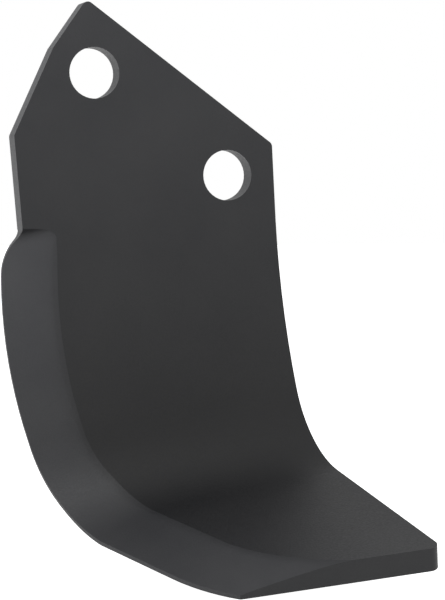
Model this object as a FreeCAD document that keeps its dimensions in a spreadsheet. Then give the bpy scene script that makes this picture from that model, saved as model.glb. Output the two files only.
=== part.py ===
import FreeCAD, Part
import math
import os

import Sketcher
from FreeCAD import Placement, Rotation, Vector

# Rotary tiller blade, in millimetres: one piece of flat spring steel, sheared,
# punched, forged along its leading side and bent into a scoop.
#
# Frame: the origin lies on the seat face, midway between the two bolt holes.
# +X points to the trailing side, +Y out of the seat face and +Z up the shank.
# The wing and the concave face are on the -Y side.
#
# The blank is laid out flat, as (across, up) places on the concave face. The
# function "bent" then carries each place, and its depth below that face, round
# the bend. Shear cuts and the forged edge follow the blank through the bend, so
# the edges stay square to the plate all the way.

SIZES = (
    ("plate_thickness", 8.0, "bar stock"),
    ("bolt_diameter", 17.0, "bolt holes, clearance for M16"),
    ("bolt_spacing", 57.0, "between the bolt hole centres"),
    ("bolt_line_slope", 36.0, "degrees that the line of bolts falls towards the trailing side"),
    ("top_edge_distance", 18.0, "line of bolts to the sheared top edge"),
    ("side_edge_distance", 16.0, "upper bolt centre to each edge on the leading side of the head"),
    ("upper_edge_angle", 55.0, "degrees above level, head edge below the tip"),
    ("lower_edge_angle", 65.5, "degrees above level, next head edge down"),
    ("bar_leading_reach", 50.5, "bolt centre to the leading side of the bar, level"),
    ("bar_leading_lean", 5.0, "degrees, leading side of the bar from upright"),
    ("bar_trailing_reach", 38.6, "bolt centre to the trailing side of the bar, level"),
    ("bar_trailing_lean", 3.0, "degrees, trailing side of the bar from upright"),
    ("trailing_straight", 29.0, "trailing side, straight run below bolt level"),
    ("trailing_radius", 395.0, "trailing side, hollow curve"),
    ("trailing_turn", 14.0, "degrees turned by that curve"),
    ("shoulder_drop", 35.0, "bolt level to the shoulder where the forged edge starts"),
    ("shoulder_radius", 4.0, "inside curve of the shoulder"),
    ("belly_radius", 18.0, "outside curve below the shoulder"),
    ("belly_turn", 42.0, "degrees turned by that curve"),
    ("leading_radius", 175.0, "leading edge below the belly"),
    ("leading_turn", 18.5, "degrees turned by that curve"),
    ("heel_radius", 70.0, "leading edge through the bend"),
    ("heel_turn", 14.5, "degrees turned by that curve"),
    ("leading_straight", 55.0, "leading edge, straight run on the wing"),
    ("toe_radius", 70.0, "leading edge, curve into the end of the wing"),
    ("toe_turn", 30.0, "degrees that this curve may turn before the wing ends"),
    ("blank_drop", 186.5, "bolt level to the end of the blank, measured flat"),
    ("bend_skew", 10.0, "degrees that the bend line rises towards the trailing side"),
    ("bend_drop", 96.5, "bolt centre to the start of the bend, square to the bend line"),
    ("bend_radius", 28.0, "concave face"),
    ("bend_angle", 73.0, "degrees"),
    ("bevel_drop", 34.5, "bolt level to the upper end of the forged bevel"),
    ("bevel_width", 17.5, "forged bevel, across"),
    ("bevel_softness", 2.5, "rounding of the bevel into the concave face"),
    ("bevel_start_slope", 0.1, "rise over run where the bevel leaves the concave face"),
    ("bevel_runout_slope", 1.6, "rise over run of the bevel's upper end"),
    ("bevel_runout_softness", 1.5, "rounding between the bevel and its upper end"),
    ("cutting_edge", 1.5, "thickness left along the leading edge"),
    ("corner_radius", 2.0, "corners of the sheared head"),
    ("end_corner_radius", 3.0, "trailing corner of the wing"),
)

STATION_STEP = 3.0  # spacing of the stations along a mapped edge
OVERCUT = 6.0  # how far a shear passes the faces of the plate
RUN_PAST = 40.0  # how far a cut runs on past the metal that it meets
CLEAR_OF_BLADE = 120.0  # reach of the shears into the waste
BAR_WIDTH = 154.0  # the stock, along the bend line, before it is sheared
BEVEL_STATIONS = (-0.45, -0.2, 0.0, 0.2, 0.4, 0.6, 0.8, 0.9, 1.0, 1.1, 1.3)  # shares of its width


# The document and its sheet of driving dimensions.

doc = FreeCAD.newDocument("rotary_tiller_blade")
sheet = doc.addObject("Spreadsheet::Sheet", "sizes")
for row, (alias, value, meaning) in enumerate(SIZES, start=1):
    sheet.set(f"A{row}", meaning)
    sheet.set(f"B{row}", str(value))
    sheet.setAlias(f"B{row}", alias)
doc.recompute()


def size(alias):
    """A driving dimension, read from the sheet."""
    return float(sheet.get(alias))


def angle(alias):
    """A driving angle, in radians."""
    return math.radians(size(alias))


# The bend: flat places carried onto the bent plate.

bend_axis = Vector(math.cos(angle("bend_skew")), 0, math.sin(angle("bend_skew")))
down_the_blank = Vector(math.sin(angle("bend_skew")), 0, -math.cos(angle("bend_skew")))
out_of_face = Vector(0, -1, 0)
down_the_wing = (
    down_the_blank * math.cos(angle("bend_angle")) + out_of_face * math.sin(angle("bend_angle"))
)
out_of_wing = (
    out_of_face * math.cos(angle("bend_angle")) - down_the_blank * math.sin(angle("bend_angle"))
)


def bent(across, up, depth=0.0):
    """Where a place on the blank lies after bending, at a depth below the concave face."""
    flat = Vector(across, 0, up)
    along = flat.dot(bend_axis)
    past = flat.dot(down_the_blank) - size("bend_drop")
    turned = min(max(past / size("bend_radius"), 0.0), angle("bend_angle"))
    beyond = past - turned * size("bend_radius")
    radial = out_of_face * math.cos(turned) - down_the_blank * math.sin(turned)
    forward = down_the_blank * math.cos(turned) + out_of_face * math.sin(turned)
    centre = (
        bend_axis * along
        + down_the_blank * size("bend_drop")
        + out_of_face * (size("plate_thickness") + size("bend_radius"))
    )
    return centre - radial * (size("bend_radius") + depth) + forward * beyond


def outline(start, heading, runs):
    """Stations along a flat outline, as (across, up, heading).

    The heading is the angle from straight down towards the trailing side. Each run
    is (length, turn): a straight where turn is 0 and an arc otherwise.
    """
    across, up = start
    stations = [(across, up, heading)]
    for length, turn in runs:
        count = max(2, math.ceil(length / STATION_STEP))
        for _ in range(count):
            middle = heading + turn / count / 2
            across += length / count * math.sin(middle)
            up -= length / count * math.cos(middle)
            heading += turn / count
            stations.append((across, up, heading))
    return stations


def arc(radius, turn):
    """A run of an outline that turns on a radius, given in radians."""
    return radius * abs(turn), turn


def skin(rows):
    """A smooth face through rows of points."""
    surface = Part.BSplineSurface()
    surface.interpolate(rows)
    return surface.toShape()


def square_wall(stations):
    """The wall that follows an outline square to the plate, on both sides of it."""
    depths = [-OVERCUT, 0.0, size("plate_thickness"), size("plate_thickness") + OVERCUT]
    return skin([[bent(across, up, depth) for depth in depths] for across, up, _ in stations])


# Outlines of the blank.

bar_lean = angle("bar_leading_lean")
shoulder = (
    -size("bar_leading_reach") + size("shoulder_drop") * math.tan(bar_lean),
    -size("shoulder_drop"),
)
shoulder_runs = (
    arc(size("shoulder_radius"), -bar_lean - angle("belly_turn")),
    arc(size("belly_radius"), angle("belly_turn")),
)
leading_runs = (
    arc(size("leading_radius"), angle("leading_turn")),
    arc(size("heel_radius"), angle("heel_turn")),
    (size("leading_straight"), 0.0),
    arc(size("toe_radius"), angle("toe_turn")),
)
leading_edge = outline(shoulder, bar_lean, shoulder_runs + leading_runs)
belly = outline(shoulder, bar_lean, shoulder_runs)[-1]
bevel_guide = outline(
    (belly[0], OVERCUT - size("bevel_drop")),
    0.0,
    ((OVERCUT - size("bevel_drop") - belly[1], 0.0),) + leading_runs,
)

trailing_top = (size("bar_trailing_reach"), 0.0)
trailing_lean = angle("bar_trailing_lean")
trailing_start = (
    trailing_top[0] - RUN_PAST * math.sin(trailing_lean),
    trailing_top[1] + RUN_PAST * math.cos(trailing_lean),
)
trailing_edge = outline(
    trailing_start,
    trailing_lean,
    (
        (RUN_PAST + size("trailing_straight"), 0.0),
        arc(size("trailing_radius"), angle("trailing_turn")),
        (size("blank_drop"), 0.0),
    ),
)
wing_end = outline(
    (-CLEAR_OF_BLADE, -size("blank_drop")), math.pi / 2, ((CLEAR_OF_BLADE * 2, 0.0),)
)


# Sketching helpers.


def origin_plane(body, role):
    """One of a body's own origin planes."""
    return next(item for item in body.Origin.OriginFeatures if item.Role == role)


def sketch_on(body, role, label):
    """A new sketch on one of a body's origin planes."""
    sketch = body.newObject("Sketcher::SketchObject", label)
    sketch.AttachmentSupport = [(origin_plane(body, role), "")]
    sketch.MapMode = "FlatFace"
    return sketch


def closed_chain(sketch, corners):
    """Lines from corner to corner, joined into a loop."""
    first = sketch.GeometryCount
    count = len(corners)
    for index, corner in enumerate(corners):
        sketch.addGeometry(Part.LineSegment(corner, corners[(index + 1) % count]))
    for index in range(count):
        following = first + (index + 1) % count
        sketch.addConstraint(Sketcher.Constraint("Coincident", first + index, 2, following, 1))
    return [first + index for index in range(count)]


def dimension(sketch, kind, *terms, expression):
    """A sketch dimension that follows the sheet."""
    index = sketch.addConstraint(Sketcher.Constraint(kind, *terms))
    sketch.setExpression(f"Constraints[{index}]", expression)


def bolt_line(sketch, slope, slope_expression):
    """The construction line between the bolt centres, from the lower to the upper."""
    half = size("bolt_spacing") / 2
    upper = Vector(-half * math.cos(slope), half * math.sin(slope), 0)
    line = sketch.addGeometry(Part.LineSegment(-upper, upper), True)
    sketch.addConstraint(Sketcher.Constraint("Symmetric", line, 1, line, 2, -1, 1))
    dimension(sketch, "Distance", line, size("bolt_spacing"), expression="sizes.bolt_spacing")
    dimension(sketch, "Angle", line, math.pi - slope, expression=slope_expression)
    return line


# The bar: its bent profile padded along the bend line, then punched.

bar = doc.addObject("PartDesign::Body", "bent_bar")
bar.Placement = Placement(Vector(), Rotation(Vector(0, -1, 0), size("bend_skew")))
bar.setExpression("Placement.Rotation.Angle", "sizes.bend_skew * 1 deg")

profile = sketch_on(bar, "YZ_Plane", "bar_profile")
thickness = size("plate_thickness")
bend_height = -size("bend_drop")
inner = size("bend_radius")
outer = inner + thickness
turn = angle("bend_angle")
wing_length = size("blank_drop") / math.cos(angle("bend_skew")) - size("bend_drop")
centre = Vector(-outer, bend_height, 0)
head_top = Vector(0, size("bolt_spacing"), 0)
wing_run = Vector(-math.sin(turn), -math.cos(turn), 0) * wing_length
radial = Vector(math.cos(turn), -math.sin(turn), 0)
front_top = head_top - Vector(thickness, 0, 0)
front_bend = centre + Vector(inner, 0, 0)
front_foot = centre + radial * inner
back_bend = centre + Vector(outer, 0, 0)
back_foot = centre + radial * outer

front = profile.addGeometry(Part.LineSegment(front_top, front_bend))
circle_in = Part.Circle(centre, Vector(0, 0, 1), inner)
circle_out = Part.Circle(centre, Vector(0, 0, 1), outer)
bend_in = profile.addGeometry(Part.ArcOfCircle(circle_in, -turn, 0))
wing_front = profile.addGeometry(Part.LineSegment(front_foot, front_foot + wing_run))
tip = profile.addGeometry(Part.LineSegment(front_foot + wing_run, back_foot + wing_run))
wing_back = profile.addGeometry(Part.LineSegment(back_foot + wing_run, back_foot))
bend_out = profile.addGeometry(Part.ArcOfCircle(circle_out, -turn, 0))
back = profile.addGeometry(Part.LineSegment(back_bend, head_top))
top = profile.addGeometry(Part.LineSegment(head_top, front_top))
for constraint in (
    ("Coincident", top, 2, front, 1),
    ("Coincident", wing_front, 2, tip, 1),
    ("Coincident", tip, 2, wing_back, 1),
    ("Coincident", back, 2, top, 1),
    ("Tangent", front, 2, bend_in, 2),
    ("Tangent", bend_in, 1, wing_front, 1),
    ("Tangent", wing_back, 2, bend_out, 1),
    ("Tangent", bend_out, 2, back, 1),
    ("Coincident", bend_in, 3, bend_out, 3),
    ("Vertical", front),
    ("Perpendicular", wing_front, tip),
    ("Horizontal", top),
    ("PointOnObject", back, 2, -2),
):
    profile.addConstraint(Sketcher.Constraint(*constraint))
dimension(profile, "DistanceX", top, 2, top, 1, thickness, expression="sizes.plate_thickness")
dimension(profile, "Radius", bend_in, inner, expression="sizes.bend_radius")
dimension(profile, "DistanceY", bend_in, 3, -1, 1, -bend_height, expression="sizes.bend_drop")
dimension(
    profile, "Distance", wing_front, wing_length,
    expression="sizes.blank_drop / cos(sizes.bend_skew * 1 deg) - sizes.bend_drop",
)
dimension(
    profile, "Angle", wing_front, -math.pi / 2 - turn, expression="(-90 - sizes.bend_angle) * 1 deg"
)
dimension(profile, "DistanceY", -1, 1, back, 2, head_top.y, expression="sizes.bolt_spacing")

pad = bar.newObject("PartDesign::Pad", "bar_pad")
pad.Profile = profile
pad.Midplane = True
pad.Length = BAR_WIDTH
doc.recompute()

punching = sketch_on(bar, "XZ_Plane", "bolt_holes")
punched_line = bolt_line(
    punching,
    angle("bolt_line_slope") + angle("bend_skew"),
    "(180 - sizes.bolt_line_slope - sizes.bend_skew) * 1 deg",
)
for end in (1, 2):
    place = punching.getPoint(punched_line, end)
    hole = punching.addGeometry(Part.Circle(place, Vector(0, 0, 1), size("bolt_diameter") / 2))
    punching.addConstraint(Sketcher.Constraint("Coincident", hole, 3, punched_line, end))
    dimension(punching, "Diameter", hole, size("bolt_diameter"), expression="sizes.bolt_diameter")

punch = bar.newObject("PartDesign::Pocket", "punched_holes")
punch.Profile = punching
punch.Type = "ThroughAll"
punch.Midplane = True
doc.recompute()


# The shears: solids that take away what lies outside the blade's outline.

head_shear = doc.addObject("PartDesign::Body", "head_shear")
cut_line = sketch_on(head_shear, "XZ_Plane", "head_outline")


def meet(point_a, angle_a, point_b, angle_b):
    """Where two lines cross, each given by a point and its angle above level."""
    dir_a = Vector(math.cos(angle_a), math.sin(angle_a), 0)
    dir_b = Vector(math.cos(angle_b), math.sin(angle_b), 0)
    normal_b = Vector(-dir_b.y, dir_b.x, 0)
    return point_a + dir_a * ((point_b - point_a).dot(normal_b) / dir_a.dot(normal_b))


slope = angle("bolt_line_slope")
upper_bolt = Vector(-math.cos(slope), math.sin(slope), 0) * (size("bolt_spacing") / 2)
top_foot = upper_bolt + Vector(math.sin(slope), math.cos(slope), 0) * size("top_edge_distance")


def edge_foot(edge_angle):
    """The point of a leading head edge nearest to the upper bolt centre."""
    reach = size("side_edge_distance")
    return upper_bolt + Vector(-math.sin(edge_angle), math.cos(edge_angle), 0) * reach


upper_angle = angle("upper_edge_angle")
lower_angle = angle("lower_edge_angle")
bar_angle = math.pi / 2 + angle("bar_leading_lean")
bar_foot = Vector(-size("bar_leading_reach"), 0, 0)
tip_corner = meet(top_foot, -slope, edge_foot(upper_angle), upper_angle)
neck_corner = meet(edge_foot(upper_angle), upper_angle, edge_foot(lower_angle), lower_angle)
cheek_corner = meet(edge_foot(lower_angle), lower_angle, bar_foot, bar_angle)
shoulder_corner = Vector(shoulder[0], shoulder[1], 0)
waste = closed_chain(
    cut_line,
    [
        tip_corner + Vector(math.cos(slope), -math.sin(slope), 0) * CLEAR_OF_BLADE,
        tip_corner,
        neck_corner,
        cheek_corner,
        shoulder_corner,
        Vector(-CLEAR_OF_BLADE, shoulder[1] - RUN_PAST, 0),
        Vector(-CLEAR_OF_BLADE, CLEAR_OF_BLADE, 0),
        Vector(CLEAR_OF_BLADE, CLEAR_OF_BLADE, 0),
    ],
)
top_edge, upper_edge, lower_edge, bar_edge, under_edge, left_edge, roof_edge = waste[:-1]
head_bolts = bolt_line(cut_line, slope, "(180 - sizes.bolt_line_slope) * 1 deg")
cut_line.addConstraint(Sketcher.Constraint("Parallel", top_edge, head_bolts))
dimension(
    cut_line, "Distance", head_bolts, 2, top_edge, size("top_edge_distance"),
    expression="sizes.top_edge_distance",
)
for edge, alias in ((upper_edge, "upper_edge_angle"), (lower_edge, "lower_edge_angle")):
    dimension(
        cut_line, "Distance", head_bolts, 2, edge, size("side_edge_distance"),
        expression="sizes.side_edge_distance",
    )
    dimension(
        cut_line, "Angle", edge, angle(alias) - math.pi,
        expression=f"(sizes.{alias} - 180) * 1 deg",
    )
reach_point = cut_line.addGeometry(Part.Point(bar_foot), True)
cut_line.addConstraint(Sketcher.Constraint("PointOnObject", reach_point, 1, -1))
cut_line.addConstraint(Sketcher.Constraint("PointOnObject", reach_point, 1, bar_edge))
dimension(
    cut_line, "DistanceX", reach_point, 1, -1, 1, size("bar_leading_reach"),
    expression="sizes.bar_leading_reach",
)
dimension(
    cut_line, "Angle", bar_edge, angle("bar_leading_lean") - math.pi / 2,
    expression="(sizes.bar_leading_lean - 90) * 1 deg",
)
dimension(
    cut_line, "DistanceY", bar_edge, 2, -1, 1, size("shoulder_drop"),
    expression="sizes.shoulder_drop",
)
for constraint in (
    ("Distance", top_edge, CLEAR_OF_BLADE),
    ("Vertical", left_edge),
    ("Horizontal", roof_edge),
    ("DistanceX", left_edge, 1, -1, 1, CLEAR_OF_BLADE),
    ("DistanceY", under_edge, 2, under_edge, 1, RUN_PAST),
    ("DistanceY", -1, 1, roof_edge, 1, CLEAR_OF_BLADE),
    ("DistanceX", -1, 1, roof_edge, 2, CLEAR_OF_BLADE),
):
    cut_line.addConstraint(Sketcher.Constraint(*constraint))

shear_pad = head_shear.newObject("PartDesign::Pad", "head_shear_pad")
shear_pad.Profile = cut_line
shear_pad.Midplane = True
shear_pad.setExpression("Length", f"(sizes.plate_thickness + {OVERCUT}) * 2")
doc.recompute()


def waste_solid(label, face, sweep):
    """Waste beyond a mapped face, as a solid of its own in the document."""
    piece = doc.addObject("Part::Feature", label)
    piece.Shape = face.extrude(sweep)
    return piece


leading_shear = waste_solid(
    "leading_shear", square_wall(leading_edge), bend_axis * -CLEAR_OF_BLADE
)
trailing_shear = waste_solid(
    "trailing_shear", square_wall(trailing_edge), bend_axis * CLEAR_OF_BLADE
)
end_shear = waste_solid("end_shear", square_wall(wing_end), down_the_wing * CLEAR_OF_BLADE)


# The forged bevel: a smooth face below the concave one, struck by a die.


def softened(value, softness):
    """A ramp that starts level and grows at one in one, rounded over the softness."""
    return math.hypot(value, softness) - softness


bevel_depth = size("plate_thickness") - size("cutting_edge")
ramp_depth = bevel_depth - size("bevel_start_slope") * size("bevel_width")
ramp_slope = ramp_depth / softened(size("bevel_width"), size("bevel_softness"))


def forged_depth(inset, below_top):
    """Depth of the bevel under the concave face.

    inset is the distance from the leading edge, below_top the distance down from the
    bevel's upper end. Past the bevel's own outline the depth is negative: no metal goes.
    """
    into_bevel = size("bevel_width") - inset
    depth = size("bevel_start_slope") * into_bevel
    if into_bevel > 0:
        depth += ramp_slope * softened(into_bevel, size("bevel_softness"))
    runout = size("bevel_runout_slope") * below_top
    blend = math.hypot(depth - runout, size("bevel_runout_softness"))
    return (depth + runout - blend) / 2


def forged_row(across, up, heading):
    """The bevel's face along one line in from the leading edge, level with the bend line."""
    lean = heading - angle("bend_skew")
    row = []
    for share in BEVEL_STATIONS:
        inset = size("bevel_width") * share
        run = inset / math.cos(lean)
        place = (
            across + run * math.cos(angle("bend_skew")),
            up + run * math.sin(angle("bend_skew")),
        )
        below_top = -size("bevel_drop") - place[1]
        row.append(bent(*place, forged_depth(inset, below_top)))
    return row


half_turned = (out_of_face + out_of_wing).normalize()
bevel_die = waste_solid(
    "bevel_die", skin([forged_row(*station) for station in bevel_guide]), half_turned * RUN_PAST
)


# The blade: the bar after all of its cuts.


def take_away(base, tool):
    """Cut a waste solid off, as an object of the document."""
    cut = doc.addObject("Part::Cut", f"after_{tool.Name}")
    cut.Base = base
    cut.Tool = tool
    doc.recompute()
    return cut


def rounded(base, label, radii):
    """Fillet edges, given as (edge number, radius)."""
    fillet = doc.addObject("Part::Fillet", label)
    fillet.Base = base
    fillet.Edges = [(number, radius, radius) for number, radius in radii]
    doc.recompute()
    return fillet


def edge_through(shape, place):
    """The number of the edge that runs through the plate at a place on the blank."""
    middle = bent(place[0], place[1], size("plate_thickness") / 2)
    return 1 + min(
        range(len(shape.Edges)), key=lambda i: shape.Edges[i].CenterOfMass.distanceToPoint(middle)
    )


blade = bar
for tool in (head_shear, leading_shear, trailing_shear, end_shear):
    blade = take_away(blade, tool)

end_across, end_up, end_heading = trailing_edge[-1]
wing_corner = (
    end_across - (-size("blank_drop") - end_up) * math.tan(end_heading),
    -size("blank_drop"),
)
side_angle = math.pi / 2 + trailing_lean
side_foot = Vector(size("bar_trailing_reach"), 0, 0)
side_corner = meet(top_foot, -slope, side_foot, side_angle)
sheared = [(corner, size("corner_radius")) for corner in (tip_corner, cheek_corner, side_corner)]
sheared.append((wing_corner, size("end_corner_radius")))
blade = rounded(
    blade,
    "rounded_corners",
    [(edge_through(blade.Shape, corner), radius) for corner, radius in sheared],
)

blade = take_away(blade, bevel_die)
blade.Label = "blade"

for item in doc.Objects:
    if "Invalid" in item.State or "Error" in item.State:
        raise RuntimeError(f"{item.Name} failed: {item.State}")
if blade.Shape.isNull() or not blade.Shape.isValid() or len(blade.Shape.Solids) != 1:
    raise RuntimeError("the blade is not one valid solid")

os.makedirs("parts", exist_ok=True)
blade.Shape.exportStep(f"parts/{blade.Label}.step")
box = blade.Shape.BoundBox
print(f"blade: {blade.Shape.Volume:.0f} mm3, {len(blade.Shape.Faces)} faces, {box}")
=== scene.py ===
import math

import bpy
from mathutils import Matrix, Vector


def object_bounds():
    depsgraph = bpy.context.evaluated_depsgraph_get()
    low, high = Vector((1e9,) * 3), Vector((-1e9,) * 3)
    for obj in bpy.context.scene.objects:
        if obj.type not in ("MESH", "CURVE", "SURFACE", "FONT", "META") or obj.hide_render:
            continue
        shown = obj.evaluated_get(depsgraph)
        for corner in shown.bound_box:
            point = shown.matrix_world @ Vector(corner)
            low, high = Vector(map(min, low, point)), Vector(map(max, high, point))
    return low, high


# The look of a rotary tiller blade: forged spring steel under satin black paint,
# standing on its wing on a pale floor in soft light. Lengths are in metres.

WHITE = (1.0, 1.0, 1.0, 1.0)
FLOOR_GREY = (0.8, 0.8, 0.8, 1.0)
FLOOR_ROUGHNESS = 0.95
FLOOR_SIZE = 12.0
ROOM_LIGHT = 0.4  # the world's strength on the object; seen directly it is 1

PAINT_DARK = (0.0125, 0.0128, 0.0142)
PAINT_LIGHT = (0.0185, 0.0187, 0.0198)
PAINT_SPECULAR = 0.3
PAINT_SMOOTHEST = 0.46
PAINT_ROUGHEST = 0.58
CLOUD_SCALE = 28.0
GRAIN_SCALE = 1400.0
GRAIN_STRENGTH = 0.25
GRAIN_DEPTH = 0.0002
NOISE_LOW = 0.3  # noise values that meet the two ends of a ramp
NOISE_HIGH = 0.7

BLADE_MIDDLE = (0.01, -0.04, -0.05)
HEAD_MIDDLE = (-0.02, -0.01, 0.03)

VIEW_TURN = math.radians(-18.0)
VIEW_RISE = math.radians(2.4)
VIEW_AIM = Vector((0.0161, -0.0240, -0.0581))
VIEW_DISTANCE = 0.7252
LENS = 132.0
SENSOR = 36.0

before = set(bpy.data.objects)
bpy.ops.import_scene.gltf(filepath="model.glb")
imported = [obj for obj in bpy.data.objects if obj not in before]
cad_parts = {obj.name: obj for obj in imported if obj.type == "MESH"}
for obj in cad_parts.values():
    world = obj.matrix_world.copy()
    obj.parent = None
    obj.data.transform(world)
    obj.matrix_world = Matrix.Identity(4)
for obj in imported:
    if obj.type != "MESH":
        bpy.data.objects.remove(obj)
cad_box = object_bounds()


# Shader helpers.


def add_node(nodes, kind, **settings):
    """A shader node with its settings and unlinked inputs given by name."""
    node = nodes.new(kind)
    for name, value in settings.pop("inputs", {}).items():
        node.inputs[name].default_value = value
    for name, value in settings.items():
        setattr(node, name, value)
    return node


def noise_ramp(nodes, low, high):
    """A ramp over a noise, from one colour to another."""
    ramp = nodes.new("ShaderNodeValToRGB")
    for element, place, colour in zip(ramp.color_ramp.elements, (NOISE_LOW, NOISE_HIGH), (low, high)):
        element.position = place
        element.color = (*colour, 1.0)
    return ramp


def graded(nodes, links, source, start, end, low, high):
    """A value that runs from low to high as the source runs from start to end."""
    limits = {"From Min": start, "From Max": end, "To Min": low, "To Max": high}
    grade = add_node(nodes, "ShaderNodeMapRange", inputs=limits)
    links.new(source, grade.inputs["Value"])
    return grade.outputs["Result"]


def joined(nodes, links, operation, first, second):
    """Two values joined by a sum or a maximum."""
    node = add_node(nodes, "ShaderNodeMath", operation=operation)
    links.new(first, node.inputs[0])
    links.new(second, node.inputs[1])
    return node.outputs[0]


def axes_of(nodes, links, vector):
    """The X, Y and Z of a vector."""
    parts = add_node(nodes, "ShaderNodeSeparateXYZ")
    links.new(vector, parts.inputs["Vector"])
    return parts.outputs


def seen_directly(nodes, links):
    """One where the camera or a gloss sees the surface, and zero where it only gives light."""
    ray = add_node(nodes, "ShaderNodeLightPath").outputs
    return joined(nodes, links, "MAXIMUM", ray["Is Camera Ray"], ray["Is Glossy Ray"])


def satin_black_paint_with_painted_shade():
    """Satin black paint over forged steel, cloudy and finely grained, with painted shade in the bend
    and painted light up the shank, out along the wing and on the faces turned to the leading side.
    """
    material = bpy.data.materials.new("satin_black_paint_with_painted_shade")
    material.use_nodes = True
    nodes, links = material.node_tree.nodes, material.node_tree.links
    surface = nodes["Principled BSDF"]
    surface.inputs["Specular IOR Level"].default_value = PAINT_SPECULAR
    coordinates = add_node(nodes, "ShaderNodeTexCoord").outputs
    place = coordinates["Object"]

    cloud_look = {"Scale": CLOUD_SCALE, "Detail": 4.0, "Roughness": 0.55}
    cloud = add_node(nodes, "ShaderNodeTexNoise", inputs=cloud_look)
    links.new(place, cloud.inputs["Vector"])
    tone = noise_ramp(nodes, PAINT_DARK, PAINT_LIGHT)
    links.new(cloud.outputs["Fac"], tone.inputs["Fac"])

    # Painted light and shade in the paint's colour: darkest in the bend as painted shade where the
    # wing shades it, and painted lighter up the shank, out along the wing and on the faces turned to
    # the leading side as painted light where the light falls on them.
    spot = axes_of(nodes, links, place)
    facing = axes_of(nodes, links, coordinates["Normal"])
    shank_painted_light_and_shade = graded(nodes, links, spot["Z"], -0.115, 0.045, 0.25, 1.9)
    wing_painted_light = graded(nodes, links, spot["Y"], -0.02, -0.085, 0.0, 0.6)
    leading_side_painted_light = graded(nodes, links, facing["X"], -0.08, -0.4, 0.0, 1.4)
    painted_light_and_shade = joined(nodes, links, "ADD", joined(nodes, links, "ADD", shank_painted_light_and_shade, wing_painted_light), leading_side_painted_light)
    # The cloudy tone is scaled by this painted light and shade.
    tone_with_painted_shade = add_node(nodes, "ShaderNodeVectorMath", operation="SCALE")
    links.new(tone.outputs["Color"], tone_with_painted_shade.inputs[0])
    links.new(painted_light_and_shade, tone_with_painted_shade.inputs["Scale"])
    links.new(tone_with_painted_shade.outputs["Vector"], surface.inputs["Base Color"])

    grain = add_node(nodes, "ShaderNodeTexNoise", inputs={"Scale": GRAIN_SCALE, "Detail": 3.0})
    links.new(place, grain.inputs["Vector"])
    gloss = noise_ramp(nodes, (PAINT_SMOOTHEST,) * 3, (PAINT_ROUGHEST,) * 3)
    links.new(grain.outputs["Fac"], gloss.inputs["Fac"])
    links.new(gloss.outputs["Color"], surface.inputs["Roughness"])

    grain_relief = {"Strength": GRAIN_STRENGTH, "Distance": GRAIN_DEPTH}
    relief = add_node(nodes, "ShaderNodeBump", inputs=grain_relief)
    links.new(grain.outputs["Fac"], relief.inputs["Height"])
    links.new(relief.outputs["Normal"], surface.inputs["Normal"])
    return material


def pale_floor_paint():
    """Matte pale grey that shows as plain white when it is seen directly."""
    material = bpy.data.materials.new("pale_floor")
    material.use_nodes = True
    nodes, links = material.node_tree.nodes, material.node_tree.links
    matte = nodes["Principled BSDF"]
    matte.inputs["Base Color"].default_value = FLOOR_GREY
    matte.inputs["Roughness"].default_value = FLOOR_ROUGHNESS
    glow = add_node(nodes, "ShaderNodeEmission", inputs={"Color": WHITE})
    links.new(seen_directly(nodes, links), glow.inputs["Strength"])
    both = add_node(nodes, "ShaderNodeAddShader")
    links.new(matte.outputs["BSDF"], both.inputs[0])
    links.new(glow.outputs["Emission"], both.inputs[1])
    links.new(both.outputs["Shader"], nodes["Material Output"].inputs["Surface"])
    return material


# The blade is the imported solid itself, in its paint.

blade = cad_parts["blade"]
blade.data.materials.clear()
blade.data.materials.append(satin_black_paint_with_painted_shade())


# The floor, the light and the camera.


def soft_light(name, size, power, place, target):
    """A soft lamp at a place, turned to a target."""
    data = bpy.data.lights.new(name, "AREA")
    data.size = size
    data.energy = power
    lamp = bpy.data.objects.new(name, data)
    lamp.location = place
    lamp.rotation_euler = (Vector(target) - Vector(place)).to_track_quat("-Z", "Y").to_euler()
    bpy.context.scene.collection.objects.link(lamp)


bpy.ops.object.select_all(action="DESELECT")
bpy.ops.mesh.primitive_plane_add(size=FLOOR_SIZE, location=(0.0, 0.0, cad_box[0].z))
floor = bpy.context.object
floor.name = "floor"
floor.data.materials.append(pale_floor_paint())

soft_light("key_light", 0.5, 4.0, (-0.75, -0.55, 0.35), BLADE_MIDDLE)
soft_light("head_light", 0.25, 0.5, (-0.12, -0.35, 0.28), HEAD_MIDDLE)
soft_light("fill_light", 1.0, 1.2, (0.9, -1.0, 0.3), BLADE_MIDDLE)

world = bpy.data.worlds.new("studio")
bpy.context.scene.world = world
world.use_nodes = True
air, air_links = world.node_tree.nodes, world.node_tree.links
level = graded(air, air_links, seen_directly(air, air_links), 0.0, 1.0, ROOM_LIGHT, 1.0)
air_links.new(level, air["Background"].inputs["Strength"])
air["Background"].inputs["Color"].default_value = WHITE

back = Vector((
    math.sin(VIEW_TURN) * math.cos(VIEW_RISE),
    -math.cos(VIEW_TURN) * math.cos(VIEW_RISE),
    math.sin(VIEW_RISE),
))
camera_data = bpy.data.cameras.new("camera")
camera_data.sensor_width = SENSOR
camera_data.lens = LENS
camera_data.clip_start = 0.01
camera = bpy.data.objects.new("camera", camera_data)
camera.location = VIEW_AIM + back * VIEW_DISTANCE
camera.rotation_euler = (-back).to_track_quat("-Z", "Y").to_euler()
bpy.context.scene.collection.objects.link(camera)
bpy.context.scene.camera = camera
bpy.context.scene.view_settings.view_transform = "Standard"
